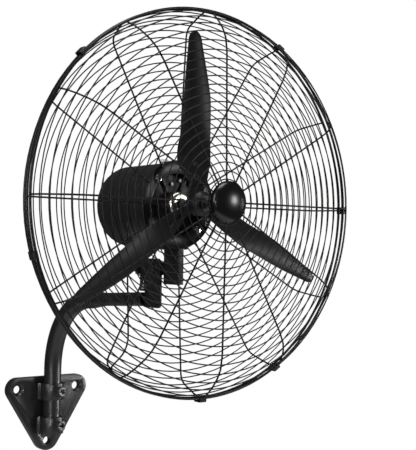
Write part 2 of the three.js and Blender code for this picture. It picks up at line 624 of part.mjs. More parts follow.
function buildMotor() {
  const bearingBore = SHAFT_RADIUS + GAP;
  const frontSeat = BELL_BOSS_FRONT_Y + 4 + GAP;
  const rearSeat = HOUSING_REAR_Y - 4 - GAP;
  addMesh('motor_housing', motorHousing(), blackPaint);
  addMesh('front_bell', frontBell(), matteBlack);
  addMesh('bearing_cap', bearingCap(), brightSteel);
  BELL_SCREW_PLACES.forEach((place, i) => addMesh(`bell_screw_${i + 1}`, bellScrew(place), brightSteel));
  addMesh('front_bearing', turnedRing(bearingBore, BEARING.radius, frontSeat, frontSeat + BEARING.width, 24),
    brightSteel);
  addMesh('rear_bearing', turnedRing(bearingBore, BEARING.radius, rearSeat - BEARING.width, rearSeat, 24),
    brightSteel);
  addMesh('stator_core', turnedRing(STATOR.bore, INSIDE_RADIUS, STATOR.front, STATOR.rear), darkSteel);
  addMesh('winding_front', windingRing(STATOR.front - 18, STATOR.front - 1.5), copper);
  addMesh('winding_rear', windingRing(STATOR.rear + 1.5, STATOR.rear + 17), copper);
  addMesh('run_capacitor', new THREE.BoxGeometry(38, 15, 24).translate(0, -357, FAN_AXIS_Z + 42), greyPlastic);
  addMesh('guard_ring_plate', ringPlate(), blackPaint);
  ringScrewPlaces().forEach((place, i) => addMesh(`ring_screw_${i + 1}`, ringScrew(place), brightSteel));
  addMesh('neck_bracket', neckBracket(), blackPaint);
  NECK_SCREW_ANGLES.forEach((degrees, i) => NECK_SCREW_YS.forEach((y, j) =>
    addMesh(`neck_screw_${2 * i + j + 1}`, neckScrew(degrees, y), darkSteel)));
  const lock = pointFromPivot(LOCK_ARM, LOCK_ANGLE);
  const washerLow = TILT_PLATE_X.low - GAP - 1.6;
  addMesh('lock_washer', washer(LOCK_SCREW_RADIUS + GAP, LOCK_WASHER_RADIUS, washerLow, TILT_PLATE_X.low - GAP, ...lock),
    darkSteel);
  addMesh('lock_screw', join(rodAlongX(5.5, washerLow - GAP - 5.5, washerLow - GAP, ...lock),
    rodAlongX(LOCK_SCREW_RADIUS, washerLow - GAP - WELD, LUG_X.high - 1, ...lock, 12)), brightSteel);
  addMesh('cord_grommet', cordGrommet(), blackRubber);
  addMesh('housing_plug', housingPlug(), greyPlastic);
}

// ---------------------------------------------------------------- guard

// A wire's corners as [across, up] about its middle. One corner points down or up along the guard's
// surface normal, so that crossing wires meet edge to edge.
function wireCorners(wireRadius, pointing) {
  const reach = WIRE_REACH * wireRadius;
  return [0, 1, 2].map((i) => {
    const angle = (pointing + i * 4 / 3) * Math.PI / 2;
    return [reach * Math.cos(angle), reach * Math.sin(angle)];
  });
}

// A ring about the rotor's axis; normal = [radius, depth] points away from the radial wires.
function wireRing(radius, wireRadius, depth, normal, segments) {
  const middle = radius / Math.cos(Math.PI / segments);
  const outline = wireCorners(wireRadius, -1).map(([across, up]) =>
    [middle + up * normal[0] - across * normal[1], RIM_Y + depth + up * normal[1] + across * normal[0]]);
  return turnAboutRotor(outline, segments, Math.PI / segments);
}

function rimRing(side) {
  const segments = 36;
  const outward = 1 / Math.cos(Math.PI / segments);
  const outline = [[RIM_WIRE, 0], [0, RIM_WIRE], [-RIM_WIRE, 0], [0, -RIM_WIRE]].map(([across, up]) =>
    [(GUARD_RADIUS + across) * outward, RIM_Y + side * RIM_DEPTH + up]);
  return turnAboutRotor(outline, segments, Math.PI / segments);
}

// One half of the guard's section, as (radius, depth from the rim plane) points from the rim inwards.
function guardSection(shoulder, innerRadius, innerDepth) {
  const rim = { radius: GUARD_RADIUS - 1.2, depth: RIM_DEPTH };
  const inner = { radius: innerRadius, depth: innerDepth };
  return [rim, ...shoulder, inner].map(({ radius, depth }) => new THREE.Vector2(radius, depth));
}

// Evenly spaced places along the section, each with the direction that points out of the guard.
function ringPlaces(section, count) {
  const line = new THREE.CurvePath();
  section.slice(1).forEach((point, i) => line.add(new THREE.LineCurve(section[i], point)));
  return Array.from({ length: count }, (_, k) => {
    const share = (k + 0.8) / (count + 0.5);
    const tangent = line.getTangentAt(share);
    return { place: line.getPointAt(share), normal: new THREE.Vector2(tangent.y, -tangent.x) };
  });
}

function guardRadial(line, side) {
  const points = line.map(({ x, y }) => new THREE.Vector3(x, side * y, 0));
  const corners = wireCorners(RADIAL_WIRE, -side).map((corner) => new THREE.Vector2(...corner));
  return new THREE.ExtrudeGeometry(new THREE.Shape(corners), {
    steps: points.length - 1, bevelEnabled: false, extrudePath: new PolyLine(points),
  });
}

// side is -1 for the front half and 1 for the rear half.
function guardHalf(side, shoulder, innerRadius, innerDepth, ringCount) {
  const section = guardSection(shoulder, innerRadius, innerDepth);
  const offset = WIRE_REACH * (RADIAL_WIRE + RING_WIRE) - WELD;
  const parts = [rimRing(side), wireRing(innerRadius + 1, RING_WIRE, side * innerDepth, [-1, 0], 24)];
  for (const { place, normal } of ringPlaces(section, ringCount)) {
    const middle = place.addScaledVector(normal, offset);
    parts.push(wireRing(middle.x, RING_WIRE, side * middle.y, [normal.x, side * normal.y], 24));
  }
  for (let i = 0; i < RADIAL_COUNT; i += 1) {
    parts.push(guardRadial(section, side).rotateY(i * 2 * Math.PI / RADIAL_COUNT)
      .translate(0, RIM_Y, FAN_AXIS_Z));
  }
  return join(...parts);
}

// A sprung clip that bridges the two rim rings.
function guardClip(degrees) {
  const inner = GUARD_RADIUS + RIM_WIRE + 2;
  const outer = inner + 3.4;
  const lip = GUARD_RADIUS + 1.8;
  const half = RIM_DEPTH + RIM_WIRE + GAP;
  const outline = new THREE.Shape([[lip, -half - 2.4], [outer, -half - 2.4], [outer, half + 2.4],
    [lip, half + 2.4], [lip, half], [inner, half], [inner, -half], [lip, -half]]
    .map(([radius, depth]) => new THREE.Vector2(radius, depth)));
  return extrude(outline, 14).translate(0, RIM_Y, -7)
    .rotateY(-THREE.MathUtils.degToRad(degrees)).translate(0, 0, FAN_AXIS_Z);
}

function centreCap() {
  const back = RIM_Y - FRONT_FACE_DEPTH - WIRE_REACH * RADIAL_WIRE - GAP;
  const dome = { radius: 37, rim: 3.5, height: 17 };
  const outline = [[0, back], [dome.radius, back]];
  for (let step = 0; step <= 5; step += 1) {
    const turn = step * Math.PI / 10;
    outline.push([dome.radius * Math.cos(turn), back - dome.rim - dome.height * Math.sin(turn)]);
  }
  return turnAboutRotor(outline, 28);
}

function buildGuard() {
  const rearWireY = RING_PLATE.rear - RING_PLATE.thickness - GAP - WIRE_REACH * RADIAL_WIRE;
  addMesh('rear_guard', guardHalf(1, REAR_SHOULDER, RING_PLATE.inner + 17, rearWireY - RIM_Y, 8),
    blackWire);
  addMesh('front_guard', guardHalf(-1, FRONT_SHOULDER, 26, FRONT_FACE_DEPTH, 9), blackWire);
  CLIP_ANGLES.forEach((degrees, i) => addMesh(`guard_clip_${i + 1}`, guardClip(degrees), matteBlack));
  addMesh('centre_cap', centreCap(), blackPaint);
  const plateFront = RIM_Y - FRONT_FACE_DEPTH + WIRE_REACH * RADIAL_WIRE + GAP;
  addMesh('guard_centre_plate', turnAboutRotor([[0, plateFront], [33, plateFront], [33, plateFront + 2],
    [0, plateFront + 2]], 24), blackPaint);
}

// ---------------------------------------------------------------- rotor

// How far one edge stands from the blade's radial line; the tip is round.
function bladeEdge(side, radius) {
  const last = BLADE_EDGES.at(-1);
  if (radius >= last.radius) {
    const share = (radius - last.radius) / (BLADE_TIP - last.radius);
    return last[side] * Math.sqrt(Math.max(1 - share * share, 0.03));
  }
  const i = BLADE_EDGES.findIndex((knot) => knot.radius > radius);
  const [near, far] = [BLADE_EDGES[i - 1], BLADE_EDGES[i]];
  return THREE.MathUtils.lerp(near[side], far[side], (radius - near.radius) / (far.radius - near.radius));
}

function bladePitch(radius) {
  const share = THREE.MathUtils.clamp((radius - BLADE_FLAT) / (BLADE_TIP - BLADE_FLAT), 0, 1);
  return THREE.MathUtils.lerp(BLADE_ROOT_PITCH, BLADE_TIP_PITCH, Math.sqrt(share));
}

// Lofted along +Z from the rotor's axis, with its leading edge near +X and its camber towards the front.
function blade() {
  const stations = [...BLADE_EDGES.map((knot) => knot.radius), 298, 305, BLADE_TIP];
  const columns = 4;
  const positions = [];
  for (const radius of stations) {
    const leading = bladeEdge('leading', radius);
    const chord = leading + bladeEdge('trailing', radius);
    const pitch = bladePitch(radius);
    const camber = 0.09 * chord * THREE.MathUtils.smoothstep(radius, BLADE_FLAT, 150);
    const rake = BLADE_RAKE * THREE.MathUtils.smoothstep(radius, BLADE_FLAT, 200);
    for (const surface of [-1, 1]) {
      for (let column = 0; column <= columns; column += 1) {
        const across = surface * (column / columns - 0.5);
        const lift = -camber * (1 - 4 * across * across) + surface * BLADE_THICKNESS / 2;
        const along = (across + 0.5) * chord - leading;
        positions.push(-along * Math.cos(pitch) + lift * Math.sin(pitch),
          along * Math.sin(pitch) + lift * Math.cos(pitch) - rake, radius);
      }
    }
  }
  const loop = 2 * (columns + 1);
  const faces = [];
  for (let station = 0; station < stations.length - 1; station += 1) {
    for (let i = 0; i < loop; i += 1) {
      const a = station * loop + i;
      const b = station * loop + (i + 1) % loop;
      faces.push(a, b, a + loop, b, b + loop, a + loop);
    }
  }
  const lastStart = (stations.length - 1) * loop;
  for (let i = 0; i < columns; i += 1) {
    const front = [i, i + 1];
    const rear = [loop - 1 - i, loop - 2 - i];
    faces.push(front[0], rear[0], front[1], rear[0], rear[1], front[1]);
    faces.push(lastStart + front[0], lastStart + front[1], lastStart + rear[0]);
    faces.push(lastStart + front[1], lastStart + rear[1], lastStart + rear[0]);
  }
  const geometry = new THREE.BufferGeometry();
  geometry.setAttribute('position', new THREE.Float32BufferAttribute(positions, 3));
  geometry.setIndex(faces);
  return geometry;
}

const BLADE_SCREW_RADII = [48, 70];

function bladeArm() {
  const near = HUB_RADIUS - 7;
  const far = 86;
  return new THREE.BoxGeometry(26, 4, far - near)
    .translate(0, BLADE_THICKNESS / 2 + GAP + 2, (near + far) / 2).rotateZ(-BLADE_ROOT_PITCH);
}

function bladeScrew(radius, growth = 0) {
  const seat = -BLADE_THICKNESS / 2 - GAP;
  const tail = BLADE_THICKNESS / 2 + GAP + 4 + 2;
  const shank = new THREE.CylinderGeometry(2.5 + growth, 2.5 + growth, tail - seat + 2 * WELD, 10)
    .translate(0, (tail + seat) / 2, radius);
  if (growth > 0) {
    return shank.rotateZ(-BLADE_ROOT_PITCH);
  }
  const head = new THREE.CylinderGeometry(5, 5, 2.5, 14).translate(0, seat - 1.25, radius);
  return join(shank, head).rotateZ(-BLADE_ROOT_PITCH);
}

function inRotorPlace(geometry, degrees) {
  return geometry.rotateY(-THREE.MathUtils.degToRad(degrees - 90)).translate(0, ROTOR_Y, FAN_AXIS_Z);
}

function bladeDirections() {
  return Array.from({ length: BLADE_COUNT }, (_, i) => BLADE_PHASE + i * 360 / BLADE_COUNT);
}

function bladeHub() {
  const front = HUB_FRONT_Y;
  const rear = HUB_REAR_Y;
  const body = turnAboutRotor([[SHAFT_RADIUS + GAP, front], [15, front], [HUB_RADIUS, front + 8],
    [HUB_RADIUS, rear - 3], [HUB_RADIUS - 3, rear], [SHAFT_RADIUS + GAP, rear]]);
  const arms = bladeDirections().map((degrees) => inRotorPlace(bladeArm(), degrees));
  const holes = bladeDirections().flatMap((degrees) => BLADE_SCREW_RADII.map((radius) =>
    inRotorPlace(bladeScrew(radius, GAP), degrees)));
  return cut(join(body, ...arms), rodAlongY(SHAFT_RADIUS + GAP, front - 5, rear + 5, 0, FAN_AXIS_Z), ...holes);
}

function buildRotor() {
  const shaftEnd = HUB_FRONT_Y - 12;
  const bore = SHAFT_RADIUS + GAP;
  addMesh('rotor_shaft', rodAlongY(SHAFT_RADIUS, shaftEnd, HOUSING_REAR_Y - 5, 0, FAN_AXIS_Z), darkSteel);
  addMesh('rotor_core', turnedRing(bore, STATOR.bore - 0.8, STATOR.front, STATOR.rear), darkSteel);
  addMesh('blade_hub', bladeHub(), matteBlack);
  const nut = slabFacingFront(hexagon(10), 0, 8).translate(0, HUB_FRONT_Y - GAP, FAN_AXIS_Z);
  addMesh('hub_nut', cut(nut, rodAlongY(bore, shaftEnd, HUB_FRONT_Y + 3, 0, FAN_AXIS_Z)), darkSteel);
  bladeDirections().forEach((degrees, i) => {
    const holes = BLADE_SCREW_RADII.map((radius) => bladeScrew(radius, GAP));
    addMesh(`blade_${i + 1}`, inRotorPlace(cut(blade(), ...holes), degrees), matteBlack);
    BLADE_SCREW_RADII.forEach((radius, j) =>
      addMesh(`blade_screw_${2 * i + j + 1}`, inRotorPlace(bladeScrew(radius), degrees), darkSteel));
  });
}

buildWallBracket();
buildArm();
buildMotor();
buildGuard();
buildRotor();

export default object;
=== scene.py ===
import json
import math

import bmesh
import bpy
from mathutils import Matrix, Vector


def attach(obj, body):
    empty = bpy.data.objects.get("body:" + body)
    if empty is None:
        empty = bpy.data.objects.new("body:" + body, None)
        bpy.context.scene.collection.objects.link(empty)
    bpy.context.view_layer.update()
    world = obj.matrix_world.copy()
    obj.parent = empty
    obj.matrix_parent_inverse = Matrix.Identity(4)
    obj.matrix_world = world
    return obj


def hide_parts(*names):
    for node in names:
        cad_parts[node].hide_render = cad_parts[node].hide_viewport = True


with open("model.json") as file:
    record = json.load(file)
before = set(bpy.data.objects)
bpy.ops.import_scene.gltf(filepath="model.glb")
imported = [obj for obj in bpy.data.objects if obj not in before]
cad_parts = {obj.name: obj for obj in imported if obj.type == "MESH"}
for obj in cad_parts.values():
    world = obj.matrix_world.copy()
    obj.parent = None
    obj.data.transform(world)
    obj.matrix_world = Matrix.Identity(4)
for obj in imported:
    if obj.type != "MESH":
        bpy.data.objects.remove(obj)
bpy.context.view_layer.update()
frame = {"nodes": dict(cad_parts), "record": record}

# ---------------------------------------------------------------- driving dimensions, in metres

MM = 0.001
FAN_AXIS_Z = 450 * MM
RIM_Y = -575 * MM
GUARD_RADIUS = 346.5 * MM
RIM_DEPTH = 5.5 * MM              # each rim ring's distance from the rim plane
RIM_WIRE = 2.4 * MM               # radii of the wires
RADIAL_WIRE = 1.6 * MM
RING_WIRE = 1.15 * MM
RADIAL_COUNT = 12
RING_PITCH = 15 * MM
SHOULDER_RING_COUNT = 5           # rings on each half outside its face
FRONT_DEPTH = 66 * MM
FRONT_INNER_RADIUS = 26 * MM
REAR_DEPTH = 75 * MM
REAR_INNER_RADIUS = 75 * MM
FRONT_FIRST_RING = 40 * MM        # radius of each half's innermost thin ring
REAR_FIRST_RING = 81 * MM
FRONT_SHOULDER = (                # the front half slopes in from its rim; depths from the rim plane
    {"radius": 265 * MM, "depth": 61 * MM},
    {"radius": 290 * MM, "depth": 57 * MM},
    {"radius": 308 * MM, "depth": 48 * MM},
    {"radius": 325 * MM, "depth": 34 * MM},
    {"radius": 338 * MM, "depth": 20 * MM},
)
REAR_SHOULDER = (                 # the rear half is a straight wall with a rounded corner
    {"radius": 309 * MM, "depth": 60 * MM},
    {"radius": 319.3 * MM, "depth": 57.4 * MM},
    {"radius": 326.6 * MM, "depth": 51.2 * MM},
    {"radius": 330.5 * MM, "depth": 42.6 * MM},
    {"radius": 341 * MM, "depth": 20 * MM},
)
STAY_X = -116 * MM                # the rear guard's one upright stay, left of the drum
CLIP_ANGLES = (0, 60, 137, 196, 270, 300)
CLIP_CLEARANCE = 1.3 * MM         # between a clip's sides and the rim rings
CLIP_HEIGHT = 4.8 * MM            # how far a clip stands out beyond the rim rings
CLIP_CORNER = 1.5 * MM
CLIP_HALF_WIDTH = 7 * MM
CLIP_THICKNESS = 2 * MM

TUBE_RADIUS = 19 * MM
TUBE_WALL = 2.6 * MM
TUBE_FRONT_RADIUS = 13.5 * MM
TUBE_Y = -35 * MM
TUBE_FOOT_Z = -37 * MM
BEND_RADIUS = 161 * MM
ARM_BEND_Z = 98.5 * MM
ARM_RISE = math.radians(3)
ARM_FRONT_Y = -395 * MM
SWAGE_START_Y = -192 * MM
SWAGE_END_Y = -262 * MM

ROTOR_Y = RIM_Y + 18 * MM
BLADE_PHASE = 93.8
BLADE_TIP = 310 * MM
BLADE_FLAT = 92 * MM
BLADE_THICKNESS = 3 * MM
BLADE_RAKE = 12 * MM
BLADE_ROOT_PITCH = math.radians(30)
BLADE_TIP_PITCH = math.radians(8)
BLADE_EDGES = (                   # radius, then each edge's distance from the blade's radial line
    {"radius": 34 * MM, "leading": 18 * MM, "trailing": 10 * MM},
    {"radius": 50 * MM, "leading": 22 * MM, "trailing": 21 * MM},
    {"radius": 76 * MM, "leading": 27 * MM, "trailing": 34 * MM},
    {"radius": 100 * MM, "leading": 28 * MM, "trailing": 33 * MM},
    {"radius": 128 * MM, "leading": 28 * MM, "trailing": 28 * MM},
    {"radius": 190 * MM, "leading": 26 * MM, "trailing": 26 * MM},
    {"radius": 226 * MM, "leading": 22.5 * MM, "trailing": 22.5 * MM},
    {"radius": 260 * MM, "leading": 18 * MM, "trailing": 18 * MM},
    {"radius": 289 * MM, "leading": 14 * MM, "trailing": 14 * MM},
)

# ---------------------------------------------------------------- camera

CAMERA_PLACE = Vector((-1.0619, -1.9636, 0.3657))
CAMERA_YAW = math.radians(-37.700)
CAMERA_PITCH = math.radians(-1.500)
CAMERA_ROLL = math.radians(0.898)
FOCAL_PIXELS = 977.5
PHOTO_HEIGHT = 450


def make_camera():
    data = bpy.data.cameras.new("photo_camera")
    data.sensor_width = 36
    data.lens = FOCAL_PIXELS * data.sensor_width / PHOTO_HEIGHT
    camera = bpy.data.objects.new("photo_camera", data)
    bpy.context.scene.collection.objects.link(camera)
    cos_pitch = math.cos(CAMERA_PITCH)
    back = Vector((math.sin(CAMERA_YAW) * cos_pitch, -math.cos(CAMERA_YAW) * cos_pitch,
                   math.sin(CAMERA_PITCH)))
    right = Vector((math.cos(CAMERA_YAW), math.sin(CAMERA_YAW), 0))
    up = right.cross(-back)
    rolled_right = right * math.cos(CAMERA_ROLL) + up * math.sin(CAMERA_ROLL)
    rolled_up = up * math.cos(CAMERA_ROLL) - right * math.sin(CAMERA_ROLL)
    turn = Matrix((rolled_right, rolled_up, back)).transposed().to_4x4()
    camera.matrix_world = Matrix.Translation(CAMERA_PLACE) @ turn
    bpy.context.scene.camera = camera


# ---------------------------------------------------------------- materials


def new_material(name, color, roughness, metallic=0.0, specular=0.5):
    material = bpy.data.materials.new(name)
    material.use_nodes = True
    shader = material.node_tree.nodes["Principled BSDF"]
    shader.inputs["Base Color"].default_value = (*color, 1)
    shader.inputs["Roughness"].default_value = roughness
    shader.inputs["Metallic"].default_value = metallic
    shader.inputs["Specular IOR Level"].default_value = specular
    return material, shader


def noise(tree, scale, detail=3.0, stretch=(1, 1, 1)):
    place = tree.nodes.new("ShaderNodeTexCoord")
    mapping = tree.nodes.new("ShaderNodeMapping")
    mapping.inputs["Scale"].default_value = stretch
    texture = tree.nodes.new("ShaderNodeTexNoise")
    texture.inputs["Scale"].default_value = scale
    texture.inputs["Detail"].default_value = detail
    tree.links.new(place.outputs["Object"], mapping.inputs["Vector"])
    tree.links.new(mapping.outputs["Vector"], texture.inputs["Vector"])
    return texture.outputs["Fac"]


def vary_roughness(tree, shader, source, low, high):
    spread = tree.nodes.new("ShaderNodeMapRange")
    spread.inputs["To Min"].default_value = low
    spread.inputs["To Max"].default_value = high
    tree.links.new(source, spread.inputs["Value"])
    tree.links.new(spread.outputs["Result"], shader.inputs["Roughness"])


def vary_color(tree, shader, source, dark, light):
    ramp = tree.nodes.new("ShaderNodeValToRGB")
    ramp.color_ramp.elements[0].position = 0.3
    ramp.color_ramp.elements[1].position = 0.7
    ramp.color_ramp.elements[0].color = (*dark, 1)
    ramp.color_ramp.elements[1].color = (*light, 1)
    tree.links.new(source, ramp.inputs["Fac"])
    tree.links.new(ramp.outputs["Color"], shader.inputs["Base Color"])


def add_bump(tree, shader, source, strength, distance):
    bump = tree.nodes.new("ShaderNodeBump")
    bump.inputs["Strength"].default_value = strength
    bump.inputs["Distance"].default_value = distance
    tree.links.new(source, bump.inputs["Height"])
    tree.links.new(bump.outputs["Normal"], shader.inputs["Normal"])


def painted(name, dark, light, rough_low, rough_high, grain, bump, specular=0.4):
    """Baked paint: a slight orange peel, and patches that are a little duller."""
    material, shader = new_material(name, dark, rough_low, specular=specular)
    tree = material.node_tree
    patches = noise(tree, 14)
    vary_color(tree, shader, patches, dark, light)
    vary_roughness(tree, shader, patches, rough_low, rough_high)
    add_bump(tree, shader, noise(tree, grain, 2), bump, 0.0004)
    return material


def plated(name, dark, light, rough_low, rough_high, grain, stretch=(1, 1, 1)):
    """Bare or plated metal with fine turning marks."""
    material, shader = new_material(name, dark, rough_low, metallic=1.0)
    tree = material.node_tree
    vary_color(tree, shader, noise(tree, 60), dark, light)
    marks = noise(tree, grain, 2, stretch)
    vary_roughness(tree, shader, marks, rough_low, rough_high)
    add_bump(tree, shader, marks, 0.25, 0.0002)
    return material


def moulded(name, dark, light, roughness, grain):
    """Plastic or rubber with a fine moulded grain."""
    material, shader = new_material(name, dark, roughness)
    tree = material.node_tree
    vary_color(tree, shader, noise(tree, 40), dark, light)
    grain_source = noise(tree, grain, 2)
    vary_roughness(tree, shader, grain_source, roughness - 0.06, roughness + 0.06)
    add_bump(tree, shader, grain_source, 0.3, 0.0003)
    return material


def gray(level):
    return (level, level, level)


SATIN_BLACK = painted("satin_black_paint", gray(0.004), gray(0.006), 0.32, 0.40, 900, 0.15, 0.35)
GLOSS_BLACK = painted("gloss_black_paint", gray(0.003), gray(0.004), 0.24, 0.28, 700, 0.05)
WIRE_BLACK = painted("wire_black_paint", gray(0.003), gray(0.004), 0.30, 0.38, 1500, 0.1, 0.2)
MATTE_BLACK = painted("matte_black_paint", gray(0.004), gray(0.006), 0.40, 0.48, 1200, 0.25, 0.3)
BRIGHT_STEEL = plated("zinc_plated_steel", (0.60, 0.56, 0.47), (0.78, 0.75, 0.68), 0.2, 0.34, 700,
                      (1, 0.1, 1))
DARK_STEEL = plated("blackened_steel", gray(0.05), gray(0.09), 0.32, 0.46, 600)
COPPER = plated("enamelled_copper", (0.42, 0.16, 0.06), (0.6, 0.26, 0.1), 0.28, 0.4, 400, (1, 8, 1))
DULL_STEEL = plated("dull_plated_steel", gray(0.16), gray(0.24), 0.34, 0.46, 700)
GREY_PLASTIC = moulded("grey_plastic", gray(0.46), gray(0.52), 0.5, 900)
BLACK_RUBBER = moulded("black_rubber", gray(0.012), gray(0.018), 0.75, 1100)

FINISH = {
    "black_paint": SATIN_BLACK,
    "black_wire": WIRE_BLACK,
    "matte_black": MATTE_BLACK,
    "bright_steel": BRIGHT_STEEL,
    "dark_steel": DARK_STEEL,
    "copper": COPPER,
    "grey_plastic": GREY_PLASTIC,
    "black_rubber": BLACK_RUBBER,
}

NODE_FINISH = {                   # nodes duller than the rest of their slot
    "bell_screw_1": DULL_STEEL,
    "bell_screw_2": DULL_STEEL,
}

# ---------------------------------------------------------------- mesh helpers


def finish_piece(name, mesh, slot, body, nodes=(), finish=None):
    for face in mesh.polygons:
        face.use_smooth = True
    mesh.materials.append(finish or FINISH[slot])
    piece = bpy.data.objects.new(name, mesh)
    bpy.context.scene.collection.objects.link(piece)
    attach(piece, body)
    if nodes:
        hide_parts(*nodes)
    return piece


def mesh_from(name, vertices, faces):
    mesh = bpy.data.meshes.new(name)
    mesh.from_pydata([tuple(v) for v in vertices], [], faces)
    mesh.validate()
    mesh.update()
    return mesh


def add_bevel(piece, width, segments=2, angle=math.radians(35)):
    bevel = piece.modifiers.new("bevel", "BEVEL")
    bevel.width = width
    bevel.segments = segments
    bevel.limit_method = "ANGLE"
    bevel.angle_limit = angle
    bevel.harden_normals = True
    return bevel


class Wires:
    """Collects round wires into one mesh."""

    def __init__(self):
        self.vertices = []
        self.faces = []

    def add(self, points, radius, sides=8, closed=False, side_axis=None, radii=None):
        count = len(points)
        base = len(self.vertices)
        for i, point in enumerate(points):
            before = points[i - 1] if closed or i > 0 else point
            after = points[(i + 1) % count] if closed or i < count - 1 else point
            along = (after - before).normalized()
            across = side_axis.cross(along).normalized()
            up = along.cross(across)
            reach = radii[i] if radii else radius
            for side in range(sides):
                turn = 2 * math.pi * side / sides
                self.vertices.append(point + reach * (across * math.cos(turn) + up * math.sin(turn)))
        for i in range(count if closed else count - 1):
            here = base + i * sides
            there = base + (i + 1) % count * sides
            for side in range(sides):
                other = (side + 1) % sides
                self.faces.append((here + side, here + other, there + other, there + side))
        if not closed:
            last = base + (count - 1) * sides
            self.faces.append(tuple(base + side for side in reversed(range(sides))))
            self.faces.append(tuple(last + side for side in range(sides)))


def on_circle(radius, degrees, y):
    angle = math.radians(degrees)
    return Vector((radius * math.cos(angle), y, FAN_AXIS_Z + radius * math.sin(angle)))


def ring_points(radius, y, count=96):
    return [on_circle(radius, 360 * i / count, y) for i in range(count)]


def turned_mesh(name, outline, segments=64):
    """A closed or axis-to-axis outline of (radius, y) turned about the rotor's axis."""
    vertices = []
    faces = []
    closed = outline[0][0] > 1e-7
    for radius, y in outline:
        vertices.extend(ring_points(max(radius, 1e-6), y, segments))
    rows = len(outline)
    for row in range(rows if closed else rows - 1):
        here = row * segments
        there = (row + 1) % rows * segments
        for i in range(segments):
            j = (i + 1) % segments
            faces.append((here + i, here + j, there + j, there + i))
    mesh = mesh_from(name, vertices, faces)
    shape = bmesh.new()
    shape.from_mesh(mesh)
    bmesh.ops.remove_doubles(shape, verts=shape.verts, dist=2e-6)
    bmesh.ops.recalc_face_normals(shape, faces=shape.faces)
    shape.to_mesh(mesh)
    shape.free()
    return mesh


# ---------------------------------------------------------------- guard


def guard_line(side, inner_radius, inner_depth, shoulder):
    """Half the guard's section from the centre outwards, as (radius, y) points."""
    bends = [(bend["radius"], bend["depth"]) for bend in shoulder]
    line = [(inner_radius, inner_depth), *bends, (GUARD_RADIUS - 1 * MM, RIM_DEPTH)]
    return [(radius, RIM_Y + side * depth) for radius, depth in line]


def along_line(line, distance):
    for (r0, y0), (r1, y1) in zip(line, line[1:]):
        step = math.hypot(r1 - r0, y1 - y0)
        if distance <= step:
            share = distance / step
            return r0 + (r1 - r0) * share, y0 + (y1 - y0) * share
        distance -= step
    return line[-1]


def line_length(line):
    return sum(math.hypot(r1 - r0, y1 - y0) for (r0, y0), (r1, y1) in zip(line, line[1:]))


def guard_half(name, node, side, inner_radius, inner_depth, shoulder, first_ring):
    line = guard_line(side, inner_radius, inner_depth, shoulder)
    wires = Wires()
    axis = Vector((0, 1, 0))
    outward = (RADIAL_WIRE + RING_WIRE) * 0.8
    wires.add(ring_points(GUARD_RADIUS, RIM_Y + side * RIM_DEPTH, 128), RIM_WIRE, 10, True, axis)
    face_length = line_length(line[:2])
    start = first_ring - inner_radius
    face_count = int((face_length - start) / RING_PITCH) + 1
    total = line_length(line)
    places = [start + i * RING_PITCH for i in range(face_count)]
    face_end = places[-1]
    shoulder_pitch = (total - face_end) / (SHOULDER_RING_COUNT + 1)
    places += [face_end + (i + 1) * shoulder_pitch for i in range(SHOULDER_RING_COUNT)]
    for place in places:
        radius, y = along_line(line, place)
        r_near, y_near = along_line(line, place + 1 * MM)
        r_step, y_step = r_near - radius, y_near - y
        size = math.hypot(r_step, y_step)
        normal = (-side * y_step / size, side * r_step / size)
        ring = ring_points(radius + outward * normal[0], y + outward * normal[1])
        wires.add(ring, RING_WIRE, 6, True, axis)
    steps = 40
    for i in range(RADIAL_COUNT):
        degrees = 360 * i / RADIAL_COUNT
        points = [point_on_line(line, total * j / steps, degrees) for j in range(steps + 1)]
        across = on_circle(1, degrees + 90, 0) - on_circle(0, 0, 0)
        wires.add(points, RADIAL_WIRE, 8, False, across)
    if side > 0:
        wires.add(stay_points(line), RADIAL_WIRE, 8, False, Vector((0, 1, 0)))
    return finish_piece(name, mesh_from(name, wires.vertices, wires.faces), "black_wire", "head", [node])


def stay_points(line):
    """An upright wire on the rear guard's face, left of the drum, that bends out to the rim at its foot."""
    bend_radius, rim_radius, outward = 262 * MM, GUARD_RADIUS - 2 * MM, 64 * MM
    points = []
    for step in range(25):
        radius = -STAY_X * 1.05 + (rim_radius + STAY_X * 1.05) * step / 24
        share = max(radius - bend_radius, 0) / (rim_radius - bend_radius)
        x = STAY_X - outward * share ** 2
        z = FAN_AXIS_Z - math.sqrt(radius * radius - x * x)
        points.append(Vector((x, depth_at(line, radius) - 2 * RADIAL_WIRE * (1 - share), z)))
    return points


def depth_at(line, radius):
    for (r0, y0), (r1, y1) in zip(line, line[1:]):
        if r0 <= radius <= r1:
            return y0 + (y1 - y0) * (radius - r0) / (r1 - r0)
    return line[-1][1]


def point_on_line(line, distance, degrees):
    radius, y = along_line(line, distance)
    return on_circle(radius, degrees, y)


